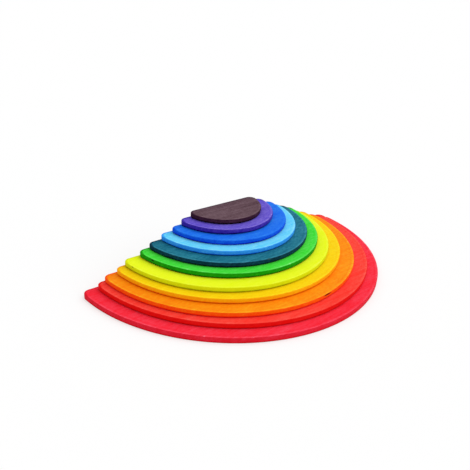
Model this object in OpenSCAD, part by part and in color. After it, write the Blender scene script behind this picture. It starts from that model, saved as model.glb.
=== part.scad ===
// Rainbow stacker: half-round wooden boards, stained and piled up from the largest to the smallest.
// The origin is in the middle of the lowest board's underside.
// X runs along the straight sides, Y points to the back, where the straight sides are, and Z points up.

/* [Boards] */
// Radius of the round side of the lowest board
base_radius = 185; // [165:1:220]
// How much smaller each board's radius is than that of the board under it
radius_step = 13.8; // [10:0.2:16]
// Thickness of every board
board_thickness = 6; // [4:0.5:12]
// Air left between one board and the next
board_gap = 0.02; // [0.01:0.01:0.3]
// Rounding, seen from above, where the straight side ends
corner_radius = 7.5; // [3:0.5:12]
// Sanded rounding along the upper and lower edges
edge_radius = 0.8; // [0.4:0.1:1.8]

/* [How the boards lie] */
// Red board: millimetres right and back, degrees of turn, millimetres sanded off the radius
red_lay = [0.8, -0.5, 0.6, 0]; // [-12:0.1:12]
// Orange board: millimetres right and back, degrees of turn, millimetres sanded off the radius
orange_lay = [-4.9, -2, 0, 0]; // [-12:0.1:12]
// Golden board: millimetres right and back, degrees of turn, millimetres sanded off the radius
golden_lay = [-6.5, -0.4, 1.2, 0.9]; // [-12:0.1:12]
// Yellow board: millimetres right and back, degrees of turn, millimetres sanded off the radius
yellow_lay = [-9.2, -1, 0.6, 0]; // [-12:0.1:12]
// Green board: millimetres right and back, degrees of turn, millimetres sanded off the radius
green_lay = [-6.1, 0.1, 1.4, 0.9]; // [-12:0.1:12]
// Teal board: millimetres right and back, degrees of turn, millimetres sanded off the radius
teal_lay = [-7.3, -0.8, 1, 0]; // [-12:0.1:12]
// Sky blue board: millimetres right and back, degrees of turn, millimetres sanded off the radius
sky_lay = [-6.8, -1.6, -0.2, 1.5]; // [-12:0.1:12]
// Blue board: millimetres right and back, degrees of turn, millimetres sanded off the radius
blue_lay = [-5.8, -1.6, 0.6, 0]; // [-12:0.1:12]
// Violet board: millimetres right and back, degrees of turn, millimetres sanded off the radius
violet_lay = [-7.8, -0.5, 1.4, 0]; // [-12:0.1:12]
// Plum board: millimetres right and back, degrees of turn, millimetres sanded off the radius
plum_lay = [-8.8, -1.1, 0.2, 0]; // [-12:0.1:12]

/* [Hidden] */

// The lowest board is the one that the others are laid on
crimson_lay = [0, 0, 0, 0];
// On a small board the corners stay clear of the middle of its straight side
corner_share = 1 / 4;
// How far a cutting shape stands proud of what it cuts
cut_margin = 1;
// Direction of a round shape's seam, where it is cut away or buried
seam_angle = 135;

$fn = 96;

// Half of a board's cross-section, from its middle out to its rounded edge
module edge_profile(reach) {
    translate([0, edge_radius]) square([reach, board_thickness - 2 * edge_radius]);
    square([reach - edge_radius, board_thickness]);
    for (height = [edge_radius, board_thickness - edge_radius])
        translate([reach - edge_radius, height]) circle(edge_radius);
}

// Whole round disc with rounded edges
module round_disc(radius) {
    rotate_extrude(start = seam_angle) edge_profile(radius);
}

// Front of a disc, up to the line between the two corners' centres
module round_front(radius, corner) {
    difference() {
        round_disc(radius);
        translate([-2 * radius, -corner, -cut_margin])
            cube([4 * radius, 2 * radius, board_thickness + 2 * cut_margin]);
    }
}

// Strip that ends in the straight side at Y 0, as deep as the corners' roundings
module straight_strip(radius, corner) {
    translate([0, -corner, 0])
        rotate([90, 0, 90])
            linear_extrude(2 * radius, center = true) edge_profile(corner);
}

// Everything beyond the two lines where a corner's rounding starts and ends
module corner_wedge(corner, slope) {
    far = 3 * corner;
    translate([0, 0, -cut_margin])
        linear_extrude(board_thickness + 2 * cut_margin)
            polygon([[0, 0], [far * cos(slope), -far * sin(slope)], [far, far], [0, far]]);
}

// Shifts sideways by whole millimetres, thousandths and the rest, so that the roundings meet exactly
module shift_sideways(distance) {
    whole = floor(distance);
    thousandths = floor((distance - whole) * 1000) / 1000;
    rest = distance - whole - thousandths;
    translate([whole, 0, 0]) translate([thousandths, 0, 0]) translate([rest, 0, 0]) children();
}

// Puts a shape at the centre of both corners' roundings
module at_corners(corner, across) {
    for (side = [0, 1])
        mirror([side, 0, 0])
            shift_sideways(across)
                translate([0, -corner, 0]) children();
}

// Half-round board with its straight side on Y 0, its round side forward and its underside on Z 0
module half_round_board(radius) {
    corner = min(corner_radius, radius * corner_share);
    reach = radius - corner;
    across = sqrt(reach * reach - corner * corner);
    slope = asin(corner / reach);
    difference() {
        union() {
            round_front(radius, corner);
            straight_strip(radius, corner);
        }
        at_corners(corner, across) corner_wedge(corner, slope);
    }
    at_corners(corner, across) round_disc(corner);
}

// Board at its level in the pile, laid as the hand left it
module laid_board(level, lay) {
    right = lay[0];
    back = lay[1];
    turn = lay[2];
    sanded = lay[3];
    translate([right, base_radius / 2 + back, level * (board_thickness + board_gap)])
        rotate(turn) half_round_board(base_radius - level * radius_step - sanded);
}

module crimson_board() {
    color([0.86, 0.14, 0.2]) laid_board(0, crimson_lay);
}

module red_board() {
    color([0.9, 0.18, 0.14]) laid_board(1, red_lay);
}

module orange_board() {
    color([0.98, 0.47, 0.05]) laid_board(2, orange_lay);
}

module golden_board() {
    color([0.98, 0.76, 0.06]) laid_board(3, golden_lay);
}

module yellow_board() {
    color([0.88, 0.92, 0.12]) laid_board(4, yellow_lay);
}

module green_board() {
    color([0.22, 0.74, 0.2]) laid_board(5, green_lay);
}

module teal_board() {
    color([0.12, 0.4, 0.46]) laid_board(6, teal_lay);
}

module sky_board() {
    color([0.36, 0.74, 0.96]) laid_board(7, sky_lay);
}

module blue_board() {
    color([0.13, 0.4, 0.88]) laid_board(8, blue_lay);
}

module violet_board() {
    color([0.36, 0.3, 0.74]) laid_board(9, violet_lay);
}

module plum_board() {
    color([0.35, 0.26, 0.31]) laid_board(10, plum_lay);
}

crimson_board();
red_board();
orange_board();
golden_board();
yellow_board();
green_board();
teal_board();
sky_board();
blue_board();
violet_board();
plum_board();
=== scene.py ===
import math

import bpy
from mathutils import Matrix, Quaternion, Vector


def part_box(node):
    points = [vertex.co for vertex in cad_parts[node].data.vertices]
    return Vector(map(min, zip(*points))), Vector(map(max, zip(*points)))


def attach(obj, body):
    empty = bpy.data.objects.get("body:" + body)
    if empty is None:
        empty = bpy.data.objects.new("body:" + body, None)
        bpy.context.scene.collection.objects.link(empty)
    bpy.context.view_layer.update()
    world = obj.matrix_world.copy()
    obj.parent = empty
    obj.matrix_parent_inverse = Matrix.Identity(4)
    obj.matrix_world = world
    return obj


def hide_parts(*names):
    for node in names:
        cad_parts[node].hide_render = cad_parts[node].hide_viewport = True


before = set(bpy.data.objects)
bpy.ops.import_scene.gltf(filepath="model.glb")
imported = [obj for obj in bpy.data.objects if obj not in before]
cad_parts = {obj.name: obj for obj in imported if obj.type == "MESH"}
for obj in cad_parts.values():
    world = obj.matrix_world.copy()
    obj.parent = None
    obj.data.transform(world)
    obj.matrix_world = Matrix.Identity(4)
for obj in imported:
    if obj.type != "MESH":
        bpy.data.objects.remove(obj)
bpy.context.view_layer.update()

scene = bpy.context.scene
scene.view_settings.view_transform = "Standard"


# One call makes a node, sets it up and wires its inputs
def addNode(tree, kind, inputs=None, **settings):
    made = tree.nodes.new(kind)
    for setting, value in settings.items():
        setattr(made, setting, value)
    for name, value in (inputs or {}).items():
        if isinstance(value, bpy.types.NodeSocket):
            tree.links.new(value, made.inputs[name])
        else:
            made.inputs[name].default_value = value
    return made


def calc(tree, operation, *values):
    return addNode(tree, "ShaderNodeMath", dict(enumerate(values)), operation=operation).outputs[0]


def vectorCalc(tree, operation, *values):
    made = addNode(tree, "ShaderNodeVectorMath", dict(enumerate(values)), operation=operation)
    return made.outputs["Value" if operation == "LENGTH" else "Vector"]


def combine(tree, x=0.0, y=0.0, z=0.0):
    return addNode(tree, "ShaderNodeCombineXYZ", {"X": x, "Y": y, "Z": z}).outputs[0]


def separate(tree, vector):
    return addNode(tree, "ShaderNodeSeparateXYZ", {"Vector": vector}).outputs


def rotateZ(tree, vector, angle, back=False):
    inputs = {"Vector": vector, "Angle": angle}
    return addNode(tree, "ShaderNodeVectorRotate", inputs, rotation_type="Z_AXIS", invert=back).outputs[0]


def readAttribute(tree, name):
    return addNode(tree, "ShaderNodeAttribute", attribute_name=name).outputs["Fac"]


# Smooth step between two values, from one result to another
def ease(tree, value, start, end, low=0.0, high=1.0):
    inputs = {"Value": value, "From Min": start, "From Max": end, "To Min": low, "To Max": high}
    return addNode(tree, "ShaderNodeMapRange", inputs, interpolation_type="SMOOTHSTEP").outputs["Result"]


# The Mix node's colour sockets share their names with others, so they go by number
def mixColours(tree, share, first, second):
    inputs = {0: share, 6: first, 7: second}
    return addNode(tree, "ShaderNodeMix", inputs, data_type="RGBA").outputs[2]


def floats(*labels):
    return [(label, "NodeSocketFloat") for label in labels]


def newGroup(name, kind, inputs, outputs):
    tree = bpy.data.node_groups.new(name, kind)
    for label, socketType in inputs:
        tree.interface.new_socket(label, in_out="INPUT", socket_type=socketType)
    for label, socketType in outputs:
        tree.interface.new_socket(label, in_out="OUTPUT", socket_type=socketType)
    return tree, tree.nodes.new("NodeGroupInput").outputs, tree.nodes.new("NodeGroupOutput").inputs


# Camera, in degrees, metres and millimetres of lens
look = {
    "aim": (0.0434, 0.1223, -0.0003),
    "distance": 0.72,
    "azimuth": -41.14,
    "elevation": 25.24,
    "roll": 3.88,
    "lens": 42.18,
}


def addCamera():
    side = math.radians(look["azimuth"])
    rise = math.radians(look["elevation"])
    towards = Vector((math.sin(side) * math.cos(rise), -math.cos(side) * math.cos(rise), math.sin(rise)))
    camera = bpy.data.objects.new("camera", bpy.data.cameras.new("camera"))
    camera.data.sensor_fit = "HORIZONTAL"
    camera.data.lens = look["lens"]
    camera.location = Vector(look["aim"]) + look["distance"] * towards
    level = (-towards).to_track_quat("-Z", "Y")
    camera.rotation_mode = "QUATERNION"
    camera.rotation_quaternion = level @ Quaternion((0, 0, 1), math.radians(look["roll"]))
    scene.collection.objects.link(camera)
    scene.camera = camera


addCamera()
print("camera set")


# Soft light from all round and a wide soft lamp overhead, a little from the right
light = {
    "allRound": 0.68,
    "overhead": 0.35,
    "softness": 80,             # degrees across the lamp
    "lampFrom": (0.5, -0.45, 1.0),
    "background": 1.0,          # the strength that is seen as white
    "floorWhite": 0.97,
    "shadowFade": 0.55,         # how much of the floor's shadow the bright room washes out
    "floorHalf": 30.0,          # metres
    "floorDrop": 0.0002,
}
white = (1, 1, 1, 1)


# Rays that look at the background itself
def seenRays(tree):
    path = addNode(tree, "ShaderNodeLightPath").outputs
    seen = calc(tree, "MAXIMUM", path["Is Camera Ray"], path["Is Glossy Ray"])
    return calc(tree, "MAXIMUM", seen, path["Is Transmission Ray"])


def addLight():
    world = bpy.data.worlds.new("softRoom")
    scene.world = world
    world.use_nodes = True
    tree = world.node_tree
    tree.nodes.clear()
    roomLight = addNode(tree, "ShaderNodeBackground", {"Color": white, "Strength": light["allRound"]})
    whiteBack = addNode(tree, "ShaderNodeBackground", {"Color": white, "Strength": light["background"]})
    inputs = {0: seenRays(tree), 1: roomLight.outputs[0], 2: whiteBack.outputs[0]}
    mixed = addNode(tree, "ShaderNodeMixShader", inputs)
    addNode(tree, "ShaderNodeOutputWorld", {"Surface": mixed.outputs[0]})

    lampFrom = Vector(light["lampFrom"]).normalized()
    lamp = bpy.data.objects.new("overheadLamp", bpy.data.lights.new("overheadLamp", "SUN"))
    lamp.data.angle = math.radians(light["softness"])
    lamp.data.energy = light["overhead"] * math.pi / lampFrom.z
    lamp.rotation_mode = "QUATERNION"
    lamp.rotation_quaternion = (-lampFrom).to_track_quat("-Z", "Y")
    scene.collection.objects.link(lamp)


def addFloor():
    half = light["floorHalf"]
    drop = -light["floorDrop"]
    mesh = bpy.data.meshes.new("floor")
    corners = [(-half, -half, drop), (half, -half, drop), (half, half, drop), (-half, half, drop)]
    mesh.from_pydata(corners, [], [(0, 1, 2, 3)])
    floor = bpy.data.objects.new("floor", mesh)
    scene.collection.objects.link(floor)
    paint = bpy.data.materials.new("floorPaint")
    paint.use_nodes = True
    tree = paint.node_tree
    tree.nodes.clear()
    floorColour = (light["floorWhite"],) * 3 + (1,)
    diffuse = addNode(tree, "ShaderNodeBsdfDiffuse", {"Color": floorColour})
    glow = addNode(tree, "ShaderNodeEmission", {"Color": white, "Strength": light["background"]})
    share = calc(tree, "MULTIPLY", seenRays(tree), light["shadowFade"])
    mixed = addNode(tree, "ShaderNodeMixShader", {0: share, 1: diffuse.outputs[0], 2: glow.outputs[0]})
    addNode(tree, "ShaderNodeOutputMaterial", {"Surface": mixed.outputs[0]})
    mesh.materials.append(paint)


addLight()
addFloor()
print("light and floor set")


# Wood grain along X: how much more or less stain the wood took, and the height of its fibres
grainNoise = {                      # scale: features per metre along, across and through the board
    "streaks": {"scale": (9, 260, 260), "detail": 3, "roughness": 0.55, "warp": 0.3},
    "fibres": {"scale": (70, 1900, 1900), "detail": 2, "roughness": 0.6, "warp": 0.0},
    "pores": {"scale": (260, 2600, 2600), "detail": 1, "roughness": 0.5, "warp": 0.0},
    "flecks": {"scale": (240, 560, 560), "detail": 2, "roughness": 0.6, "warp": 0.0},
    "blotches": {"scale": (26, 48, 48), "detail": 2, "roughness": 0.5, "warp": 0.0},
}
poreLimits = (0.6, 0.72)            # noise at which a pore begins and is full
noiseMiddle = 0.5


def buildWoodGrain():
    inputs = [("Shift", "NodeSocketVector")]
    inputs += floats("Turn", "Streaks", "Fibres", "Pores", "Flecks", "Blotches")
    tree, given, result = newGroup("woodGrain", "ShaderNodeTree", inputs, floats("Density", "Height"))
    place = addNode(tree, "ShaderNodeTexCoord").outputs["Object"]
    turned = rotateZ(tree, place, given["Turn"], back=True)
    moved = vectorCalc(tree, "ADD", turned, given["Shift"])

    def noise(name):
        chosen = grainNoise[name]
        settings = {
            "Vector": vectorCalc(tree, "MULTIPLY", moved, chosen["scale"]),
            "Scale": 1.0,
            "Detail": chosen["detail"],
            "Roughness": chosen["roughness"],
            "Distortion": chosen["warp"],
        }
        return addNode(tree, "ShaderNodeTexNoise", settings).outputs[0]

    def moreOrLess(name):
        return calc(tree, "SUBTRACT", noise(name), noiseMiddle)

    fibres = moreOrLess("fibres")
    pores = ease(tree, noise("pores"), *poreLimits)
    density = calc(tree, "MULTIPLY", moreOrLess("streaks"), given["Streaks"])
    density = calc(tree, "MULTIPLY_ADD", fibres, given["Fibres"], density)
    density = calc(tree, "MULTIPLY_ADD", pores, given["Pores"], density)
    density = calc(tree, "MULTIPLY_ADD", moreOrLess("flecks"), given["Flecks"], density)
    density = calc(tree, "MULTIPLY_ADD", moreOrLess("blotches"), given["Blotches"], density)
    tree.links.new(density, result["Density"])
    tree.links.new(calc(tree, "SUBTRACT", fibres, pores), result["Height"])
    return tree


# Where the rim is, where the edges are lighter from thinner stain and a painted highlight, and where the
# lower edge is darkened by painted shade.
# Reach is -1 at the end of the flat land, 0 where the edge's rounding starts and 1 on the rim
edgeWearAndHighlight = {
    "raggedScale": 700.0,           # features per metre
    "raggedDetail": 2.0,
    "raggedShare": 0.3,
    "wornHighlightReach": (-0.8, 0.0),       # where the wear and painted highlight begin and are full
    "patchDetail": 3.0,
    "patchLimits": (0.3, 0.6),
    "patchShare": (0.4, 1.0),       # least and most wear in a patch
    "chipScale": 260.0,
    "chipDetail": 1.0,
    "chipLimits": (0.7, 0.76),
    "chipStart": (-0.5, 0.1),       # where chips begin and are whole
    "chipEnd": (0.95, 0.6),         # where they end, from the rim inwards
}


def buildBoardEdge():
    inputs = floats("Patches", "Chips", "Rim Start", "Rim End", "Soaked")
    outputs = floats("Rim", "Worn And Highlight", "Painted Lower Shade")
    tree, given, result = newGroup("boardEdge", "ShaderNodeTree", inputs, outputs)
    reach = readAttribute(tree, "edgeReach")
    roundSide = readAttribute(tree, "roundSide")
    place = addNode(tree, "ShaderNodeTexCoord").outputs["Object"]

    def noise(scale, detail):
        settings = {"Vector": place, "Scale": scale, "Detail": detail}
        return addNode(tree, "ShaderNodeTexNoise", settings).outputs[0]

    ragged = noise(edgeWearAndHighlight["raggedScale"], edgeWearAndHighlight["raggedDetail"])
    ragged = calc(tree, "SUBTRACT", ragged, noiseMiddle)
    reach = calc(tree, "MULTIPLY_ADD", ragged, edgeWearAndHighlight["raggedShare"], reach)
    # The rim's stain has soaked further in along the straight side, which hands rub less
    soaked = calc(tree, "MULTIPLY", calc(tree, "SUBTRACT", 1.0, roundSide), given["Soaked"])
    rim = ease(tree, calc(tree, "ADD", reach, soaked), given["Rim Start"], given["Rim End"])
    offRim = calc(tree, "MULTIPLY", calc(tree, "SUBTRACT", 1.0, rim), roundSide)
    patches = noise(given["Patches"], edgeWearAndHighlight["patchDetail"])
    patches = ease(tree, patches, *edgeWearAndHighlight["patchLimits"], *edgeWearAndHighlight["patchShare"])
    # Thinner stain along the top edges, which also stands in for a painted highlight there
    wornAndHighlight = calc(tree, "MULTIPLY", ease(tree, reach, *edgeWearAndHighlight["wornHighlightReach"]), patches)
    wornAndHighlight = calc(tree, "MULTIPLY", wornAndHighlight, offRim)
    onEdge = ease(tree, reach, *edgeWearAndHighlight["chipStart"])
    onEdge = calc(tree, "MULTIPLY", onEdge, ease(tree, reach, *edgeWearAndHighlight["chipEnd"]))
    onEdge = calc(tree, "MULTIPLY", onEdge, roundSide)
    chips = ease(tree, noise(edgeWearAndHighlight["chipScale"], edgeWearAndHighlight["chipDetail"]), *edgeWearAndHighlight["chipLimits"])
    chips = calc(tree, "MULTIPLY", chips, onEdge)
    wornAndHighlight = calc(tree, "MULTIPLY_ADD", chips, given["Chips"], wornAndHighlight)
    # Painted shade: a darker band along the lower edge, where the board meets the one below
    paintedLowerShade = calc(tree, "MULTIPLY", readAttribute(tree, "lowerShadeZone"), patches)
    tree.links.new(rim, result["Rim"])
    tree.links.new(wornAndHighlight, result["Worn And Highlight"])
    tree.links.new(paintedLowerShade, result["Painted Lower Shade"])
    return tree


woodGrain = buildWoodGrain()
boardEdge = buildBoardEdge()
finish = {
    "wornAndHighlight": 0.28,               # how much lighter the edges are, from thinner stain and a painted highlight
    "paintedLowerShade": 1.4,            # how much darker the painted shade makes the lower edges
    "rimBlend": (0.05, 0.6),    # where the rim's stain begins and is full on the edge's rounding
    "soaked": 0.75,             # how much further in it reaches along the straight side
    "patches": 90.0,            # features per metre
    "chips": 1.2,
    "plankShift": (0.37, 0.61, 0.23),   # metres from one plank to the next, as every board is from another
    "streaks": 0.45,
    "fibres": 0.4,
    "pores": 0.3,
    "flecks": 0.35,
    "blotches": 0.25,
    "roughLimits": (0.7, 1.3),  # thickness of the stain where the wood is smooth and rough
    "smooth": 0.65,
    "rough": 0.85,
    "gloss": 0.08,
    "bump": 0.25,
    "fibreHeight": 0.0002,
}


def stainMaterial(board, level):
    stain = bpy.data.materials.new(board["name"] + "Stain")
    stain.use_nodes = True
    tree = stain.node_tree
    tree.nodes.clear()
    values = {
        "Shift": tuple(step * level for step in finish["plankShift"]),
        "Turn": math.radians(board["turn"]),
        "Streaks": finish["streaks"],
        "Fibres": finish["fibres"],
        "Pores": finish["pores"],
        "Flecks": board.get("flecks", finish["flecks"]),
        "Blotches": finish["blotches"],
    }
    grain = addNode(tree, "ShaderNodeGroup", values, node_tree=woodGrain)
    rimStart, rimEnd = board.get("rimBlend", finish["rimBlend"])
    values = {
        "Patches": finish["patches"],
        "Chips": finish["chips"],
        "Rim Start": rimStart,
        "Rim End": rimEnd,
        "Soaked": finish["soaked"],
    }
    edge = addNode(tree, "ShaderNodeGroup", values, node_tree=boardEdge)

    colour = mixColours(tree, edge.outputs["Rim"], board["top"] + (1,), board["rim"] + (1,))
    wornAndHighlight = board.get("wornAndHighlight", finish["wornAndHighlight"])
    paintedLowerShade = board.get("paintedLowerShade", finish["paintedLowerShade"])
    density = calc(tree, "ADD", 1.0, grain.outputs["Density"])
    # Lighter along the edges: worn stain and a painted highlight
    density = calc(tree, "MULTIPLY_ADD", edge.outputs["Worn And Highlight"], -wornAndHighlight, density)
    # Painted shade: darker along the lower edges, where the board meets the one below
    density = calc(tree, "MULTIPLY_ADD", edge.outputs["Painted Lower Shade"], paintedLowerShade, density)
    colour = addNode(tree, "ShaderNodeGamma", {"Color": colour, "Gamma": density}).outputs[0]
    colour = mixColours(tree, readAttribute(tree, "mark"), colour, board["mark"]["colour"] + (1,))
    roughness = ease(tree, density, *finish["roughLimits"], finish["smooth"], finish["rough"])
    bump = addNode(tree, "ShaderNodeBump", {
        "Height": grain.outputs["Height"],
        "Strength": finish["bump"],
        "Distance": finish["fibreHeight"],
    })
    wood = addNode(tree, "ShaderNodeBsdfPrincipled", {
        "Base Color": colour,
        "Roughness": roughness,
        "Normal": bump.outputs[0],
        "Specular IOR Level": finish["gloss"],
    })
    addNode(tree, "ShaderNodeOutputMaterial", {"Surface": wood.outputs[0]})
    return stain


# Half-round board: its outline is a front arc, two corner arcs and a straight side,
# and the rounded edge is drawn along it and closed above and below
boardInputs = floats(
    "Radius", "Thickness", "Corner Radius", "Edge Radius", "Lower Radius", "Under Lift", "Painted Shade Height",
    "Soak Start", "Soak End", "Land", "Rim Spacing", "Edge Spacing", "Unevenness", "Seed", "Mark Angle",
    "Mark Height", "Mark Depth", "Turn",
)
boardInputs += [
    ("Corner Points", "NodeSocketInt"),
    ("Edge Points", "NodeSocketInt"),
    ("Mark Size", "NodeSocketVector"),
    ("Place", "NodeSocketVector"),
    ("Stain", "NodeSocketMaterial"),
]
boardDetail = {
    "weld": 1e-6,               # metres between points that become one
    "underFade": 0.6,           # share of the land underneath that has the rim's full stain
    "rippleScale": 45.0,        # features per metre
    "rippleDetail": 2.0,
    "flawCore": 0.6,            # share of a flaw that has its full depth and colour
}


def buildBoardTree():
    outputs = [("Board", "NodeSocketGeometry")]
    tree, given, result = newGroup("halfRoundBoard", "GeometryNodeTree", boardInputs, outputs)

    def geo(kind, inputs=None, **settings):
        return addNode(tree, "GeometryNode" + kind, inputs, **settings).outputs[0]

    def compare(first, operation, second, kind="FLOAT"):
        inputs = {"A": first, "B": second}
        return addNode(tree, "FunctionNodeCompare", inputs, data_type=kind, operation=operation).outputs[0]

    def minus(value):
        return calc(tree, "MULTIPLY", value, -1.0)

    def store(geometry, name, value):
        inputs = {"Geometry": geometry, "Name": name, "Value": value}
        return geo("StoreNamedAttribute", inputs, data_type="FLOAT", domain="POINT")

    def join(*pieces):
        joined = tree.nodes.new("GeometryNodeJoinGeometry")
        for piece in pieces:
            tree.links.new(piece, joined.inputs[0])
        return joined.outputs[0]

    def weld(geometry):
        return geo("MergeByDistance", {"Geometry": geometry, "Distance": boardDetail["weld"]})

    corner = given["Corner Radius"]
    edge = given["Edge Radius"]
    thickness = given["Thickness"]
    reach = calc(tree, "SUBTRACT", given["Radius"], corner)
    across = calc(tree, "MULTIPLY", reach, reach)
    across = calc(tree, "SQRT", calc(tree, "SUBTRACT", across, calc(tree, "MULTIPLY", corner, corner)))
    slope = calc(tree, "ARCSINE", calc(tree, "DIVIDE", corner, reach))
    frontSweep = calc(tree, "MULTIPLY_ADD", slope, -2.0, math.pi)
    cornerSweep = calc(tree, "ADD", slope, math.pi / 2)
    frontRadius = calc(tree, "SUBTRACT", given["Radius"], edge)
    cornerRadius = calc(tree, "SUBTRACT", corner, edge)
    frontLength = calc(tree, "MULTIPLY", frontRadius, frontSweep)
    frontPoints = calc(tree, "DIVIDE", frontLength, given["Rim Spacing"])

    # The outline lies inside the rim by the edge's rounding
    def arc(points, radius, start, sweep):
        inputs = {"Resolution": points, "Radius": radius, "Start Angle": start, "Sweep Angle": sweep}
        return geo("CurveArc", inputs, mode="RADIUS")

    cornerDrop = minus(corner)
    edgeDrop = minus(edge)
    leftAcross = minus(across)
    front = arc(frontPoints, frontRadius, calc(tree, "SUBTRACT", slope, math.pi), frontSweep)
    right = arc(given["Corner Points"], cornerRadius, minus(slope), cornerSweep)
    right = geo("Transform", {"Geometry": right, "Translation": combine(tree, across, cornerDrop)})
    left = arc(given["Corner Points"], cornerRadius, math.pi / 2, cornerSweep)
    left = geo("Transform", {"Geometry": left, "Translation": combine(tree, leftAcross, cornerDrop)})
    straightEnds = {"Start": combine(tree, across, edgeDrop), "End": combine(tree, leftAcross, edgeDrop)}
    straight = geo("CurvePrimitiveLine", straightEnds)
    straight = geo("ResampleCurve", {"Curve": straight, "Length": given["Rim Spacing"]}, mode="LENGTH")
    wire = weld(geo("CurveToMesh", {"Curve": join(front, right, straight, left)}))
    outline = geo("MeshToCurve", {"Mesh": wire})
    outline = geo("SetCurveNormal", {"Curve": outline}, mode="Z_UP")

    # Cross-section of the rim, from the flat top over the rounded edges to the underside, Y down
    landBack = minus(given["Land"])
    thicknessDown = minus(thickness)
    halfDown = calc(tree, "MULTIPLY", thickness, -0.5)
    liftDown = minus(given["Under Lift"])
    sectionCorners = {
        "Point 1": combine(tree, landBack, thicknessDown),
        "Point 2": combine(tree, edge, thicknessDown),
        "Point 3": combine(tree, edge, liftDown),
        "Point 4": combine(tree, landBack),
    }
    section = geo("CurvePrimitiveQuadrilateral", sectionCorners, mode="POINTS")
    section = geo("SetSplineCyclic", {"Geometry": section, "Cyclic": False})
    position = geo("InputPosition")
    inSection = separate(tree, position)
    lowerHalf = compare(inSection["Y"], "GREATER_THAN", halfDown)

    def choose(low, high):
        return geo("Switch", {"Switch": lowerHalf, "False": high, "True": low}, input_type="FLOAT")

    rounding = choose(given["Lower Radius"], edge)
    rounded = {"Curve": section, "Count": given["Edge Points"], "Radius": rounding}
    section = geo("FilletCurve", rounded, mode="POLY")
    section = geo("ResampleCurve", {"Curve": section, "Length": given["Edge Spacing"]}, mode="LENGTH")

    # How far out on the edge: -1 at the end of the land, 0 where the rounding starts, 1 on the rim
    overLand = calc(tree, "DIVIDE", calc(tree, "MINIMUM", inSection["X"], 0.0), given["Land"])
    overEdge = calc(tree, "DIVIDE", calc(tree, "MAXIMUM", inSection["X"], 0.0), edge)
    underLand = addNode(tree, "ShaderNodeMapRange", {
        "Value": inSection["X"],
        "From Min": landBack,
        "From Max": calc(tree, "MULTIPLY", landBack, boardDetail["underFade"]),
        "To Min": -1.0,
        "To Max": 1.0,
    }).outputs[0]
    edgeReach = choose(underLand, calc(tree, "ADD", overLand, overEdge))
    section = store(section, "edgeReach", edgeReach)

    # The lower edge, darkened by painted shade where the board meets the one below
    lowerTop = calc(tree, "SUBTRACT", liftDown, given["Painted Shade Height"])
    paintedLowerShade = ease(tree, inSection["Y"], lowerTop, liftDown)
    paintedLowerShade = calc(tree, "MULTIPLY", paintedLowerShade, ease(tree, inSection["X"], landBack, 0.0))
    section = store(section, "lowerShadeZone", paintedLowerShade)
    rim = geo("CurveToMesh", {"Curve": outline, "Profile Curve": section})

    # The flat faces close the rim above and below
    height = separate(tree, position)["Z"]
    facesBeside = geo("InputMeshEdgeNeighbors")
    openEdge = compare(facesBeside, "EQUAL", 1, "INT")
    halfway = calc(tree, "MULTIPLY", thickness, 0.5)

    def flatFace(above):
        side = compare(height, "GREATER_THAN" if above else "LESS_THAN", halfway)
        chosen = addNode(tree, "FunctionNodeBooleanMath", {0: openEdge, 1: side}, operation="AND").outputs[0]
        loop = geo("MeshToCurve", {"Mesh": rim, "Selection": chosen})
        face = geo("FillCurve", {"Curve": loop}, mode="TRIANGLES")
        face = geo("SetShadeSmooth", {"Geometry": face, "Shade Smooth": False}, domain="FACE")
        if above:
            return geo("Transform", {"Geometry": face, "Translation": combine(tree, z=thickness)})
        return geo("FlipFaces", {"Mesh": face})

    smoothRim = geo("SetShadeSmooth", {"Geometry": rim, "Shade Smooth": True}, domain="FACE")
    board = weld(join(smoothRim, flatFace(True), flatFace(False)))

    # 0 along the straight side, 1 on the rest of the board
    fromStraight = minus(separate(tree, position)["Y"])
    roundSide = ease(tree, fromStraight, given["Soak Start"], given["Soak End"])
    board = store(board, "roundSide", roundSide)

    # Hand sanding leaves the rim a little uneven
    settings = {
        "Vector": position,
        "W": given["Seed"],
        "Scale": boardDetail["rippleScale"],
        "Detail": boardDetail["rippleDetail"],
    }
    ripple = addNode(tree, "ShaderNodeTexNoise", settings, noise_dimensions="4D").outputs[0]
    sanded = minus(calc(tree, "MULTIPLY", ripple, given["Unevenness"]))
    flatNormal = vectorCalc(tree, "MULTIPLY", geo("InputNormal"), (1.0, 1.0, 0.0))
    settings = {"Vector": flatNormal, "Scale": sanded}
    inward = addNode(tree, "ShaderNodeVectorMath", settings, operation="SCALE").outputs[0]
    board = geo("SetPosition", {"Geometry": board, "Offset": inward})

    # One small flaw of the wood on the rim: a sliver, a nick or a speck
    flawPlace = combine(tree, given["Radius"], 0.0, given["Mark Height"])
    turnedBack = rotateZ(tree, position, given["Mark Angle"], back=True)
    away = vectorCalc(tree, "SUBTRACT", turnedBack, flawPlace)
    away = vectorCalc(tree, "DIVIDE", away, given["Mark Size"])
    flaw = ease(tree, vectorCalc(tree, "LENGTH", away), 1.0, boardDetail["flawCore"])
    board = store(board, "mark", flaw)
    dent = minus(calc(tree, "MULTIPLY", flaw, given["Mark Depth"]))
    dent = rotateZ(tree, combine(tree, dent), given["Mark Angle"])
    board = geo("SetPosition", {"Geometry": board, "Offset": dent})

    turn = combine(tree, z=given["Turn"])
    board = geo("Transform", {"Geometry": board, "Translation": given["Place"], "Rotation": turn})
    board = geo("RealizeInstances", {"Geometry": board})
    board = geo("SetMaterial", {"Geometry": board, "Material": given["Stain"]})
    tree.links.new(board, result["Board"])
    return tree


boardTree = buildBoardTree()
print("board tree and stain groups built")

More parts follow.
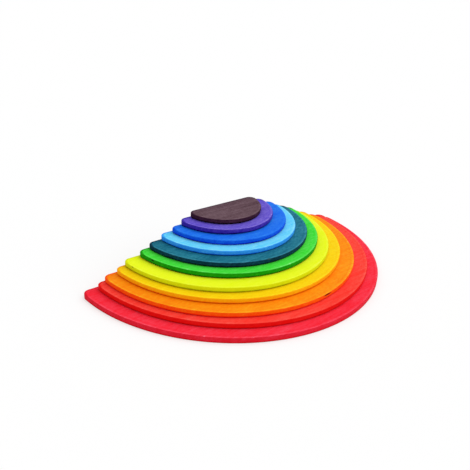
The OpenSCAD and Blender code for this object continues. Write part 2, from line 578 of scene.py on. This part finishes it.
# Shape that all boards share, in metres
shape = {
    "cornerRadius": 0.0075,
    "edgeRadius": 0.0008,
    "lowerRadius": 0.0018,
    "underLift": 0.0005,
    "paintedShadeHeight": 0.0022,
    "soak": (0.006, 0.016),     # from the straight side
    "land": 0.004,
    "rimSpacing": 0.0015,
    "edgeSpacing": 0.0003,
    "cornerPoints": 20,
    "edgePoints": 10,
    "unevenness": 0.00012,
}
noMark = {"angle": -90, "height": 0.0, "size": (1e-6, 1e-6, 1e-6), "depth": 0.0, "colour": (0.5, 0.5, 0.5)}
perMetre = 1000                 # millimetres

# Every board: stain on top and on the rim, millimetres right and back, degrees of turn, and what is its own:
# its finish, millimetres sanded off its radius, and in metres its lower edge's lift, roundings and flaw
boards = [
    {"name": "crimson", "top": (0.926, 0.0232, 0.0479), "rim": (0.74, 0.011, 0.0301),
     "lay": (0, 0), "turn": 0, "lower": 0.0006, "lift": 0.0},
    {"name": "red", "top": (0.938, 0.055, 0.0375), "rim": (0.78, 0.00543, 0.00444),
     "lay": (0.8, -0.5), "turn": 0.6, "wornAndHighlight": 0.15},
    {"name": "orange", "top": (0.942, 0.254, 0.001), "rim": (0.95, 0.0947, 0.001),
     "lay": (-4.9, -2), "turn": 0, "flecks": 0.55, "lift": 0.0007,
     "mark": {"angle": -84.4, "height": 0.0047, "size": (0.0014, 0.0072, 0.0011), "depth": 0.0006,
              "colour": (0.12, 0.004, 0.001)}},
    {"name": "golden", "top": (0.95, 0.627, 0.001), "rim": (0.95, 0.42, 0.001),
     "lay": (-6.5, -0.4), "turn": 1.2, "flecks": 0.6, "sanded": 0.9, "lift": 0.0006},
    {"name": "yellow", "top": (0.832, 0.95, 0.0113), "rim": (0.692, 0.762, 0.001),
     "lay": (-9.2, -1), "turn": 0.6, "flecks": 0.5, "lift": 0.0009,
     "mark": {"angle": -171.7, "height": 0.0054, "size": (0.001, 0.0014, 0.0007), "depth": 0.0004,
              "colour": (0.25, 0.2, 0.01)}},
    {"name": "green", "top": (0.054, 0.736, 0.0443), "rim": (0.00799, 0.295, 0.001),
     "lay": (-6.1, 0.1), "turn": 1.4, "flecks": 0.6, "sanded": 0.9,
     "mark": {"angle": -167.4, "height": 0.0045, "size": (0.0014, 0.0022, 0.0012), "depth": 0.0005,
              "colour": (0.002, 0.03, 0.002)}},
    {"name": "teal", "top": (0.00932, 0.153, 0.225), "rim": (0.001, 0.0366, 0.0656),
     "lay": (-7.3, -0.8), "turn": 1, "flecks": 0.6,
     "mark": {"angle": -99.4, "height": 0.0058, "size": (0.0014, 0.002, 0.0012), "depth": 0.0006,
              "colour": (0.035, 0.1, 0.1)}},
    {"name": "sky", "top": (0.134, 0.651, 0.95), "rim": (0.034, 0.339, 0.929),
     "lay": (-6.8, -1.6), "turn": -0.2, "flecks": 0.55, "sanded": 1.5},
    {"name": "blue", "top": (0.0109, 0.166, 0.848), "rim": (0.001, 0.0797, 0.667),
     "lay": (-5.8, -1.6), "turn": 0.6, "edge": 0.0018, "rimBlend": (0.3, 1.1),
     "wornAndHighlight": 0.08, "paintedLowerShade": 1.9},
    {"name": "violet", "top": (0.128, 0.0851, 0.591), "rim": (0.0454, 0.023, 0.345),
     "lay": (-7.8, -0.5), "turn": 1.4, "flecks": 0.6},
    {"name": "plum", "top": (0.112, 0.0601, 0.0772), "rim": (0.0366, 0.00937, 0.0261),
     "lay": (-8.8, -1.1), "turn": 0.2, "wornAndHighlight": 0.12},
]


def makeBoard(board, level, lowestRadius, radiusStep, straightSide):
    node = board["name"] + "_board"
    low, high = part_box(node)
    board.setdefault("mark", noMark)
    right, back = board["lay"]
    values = {
        "Radius": lowestRadius - level * radiusStep - board.get("sanded", 0) / perMetre,
        "Thickness": high.z - low.z,
        "Corner Radius": shape["cornerRadius"],
        "Edge Radius": board.get("edge", shape["edgeRadius"]),
        "Lower Radius": board.get("lower", shape["lowerRadius"]),
        "Under Lift": board.get("lift", shape["underLift"]),
        "Painted Shade Height": shape["paintedShadeHeight"],
        "Soak Start": shape["soak"][0],
        "Soak End": shape["soak"][1],
        "Land": shape["land"],
        "Rim Spacing": shape["rimSpacing"],
        "Edge Spacing": shape["edgeSpacing"],
        "Corner Points": shape["cornerPoints"],
        "Edge Points": shape["edgePoints"],
        "Unevenness": shape["unevenness"],
        "Seed": float(level),
        "Mark Angle": math.radians(board["mark"]["angle"]),
        "Mark Height": board["mark"]["height"],
        "Mark Size": board["mark"]["size"],
        "Mark Depth": board["mark"]["depth"],
        "Place": (right / perMetre, straightSide + back / perMetre, low.z),
        "Turn": math.radians(board["turn"]),
        "Stain": stainMaterial(board, level),
    }
    piece = bpy.data.objects.new(board["name"] + "Board", bpy.data.meshes.new(board["name"] + "Blank"))
    scene.collection.objects.link(piece)
    modifier = piece.modifiers.new("halfRoundBoard", "NODES")
    modifier.node_group = boardTree
    for item in boardTree.interface.items_tree:
        if item.in_out == "INPUT":
            modifier[item.identifier] = values[item.name]
    depsgraph = bpy.context.evaluated_depsgraph_get()
    shaped = piece.evaluated_get(depsgraph)
    mesh = bpy.data.meshes.new_from_object(shaped, preserve_all_data_layers=True, depsgraph=depsgraph)
    piece.modifiers.remove(modifier)
    mesh.materials.pop(index=0)     # the empty slot that the blank mesh brought
    piece.data = mesh
    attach(piece, board["name"])
    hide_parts(node)


# The orange board lies as straight as the lowest one, so their depths are their radii
unturnedLevel = 2
lowestLow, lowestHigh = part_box("crimson_board")
unturnedLow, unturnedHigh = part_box(boards[unturnedLevel]["name"] + "_board")
lowestRadius = lowestHigh.y - lowestLow.y
radiusStep = (lowestRadius - (unturnedHigh.y - unturnedLow.y)) / unturnedLevel
for level, board in enumerate(boards):
    makeBoard(board, level, lowestRadius, radiusStep, lowestHigh.y)
print("boards made:", len(boards))
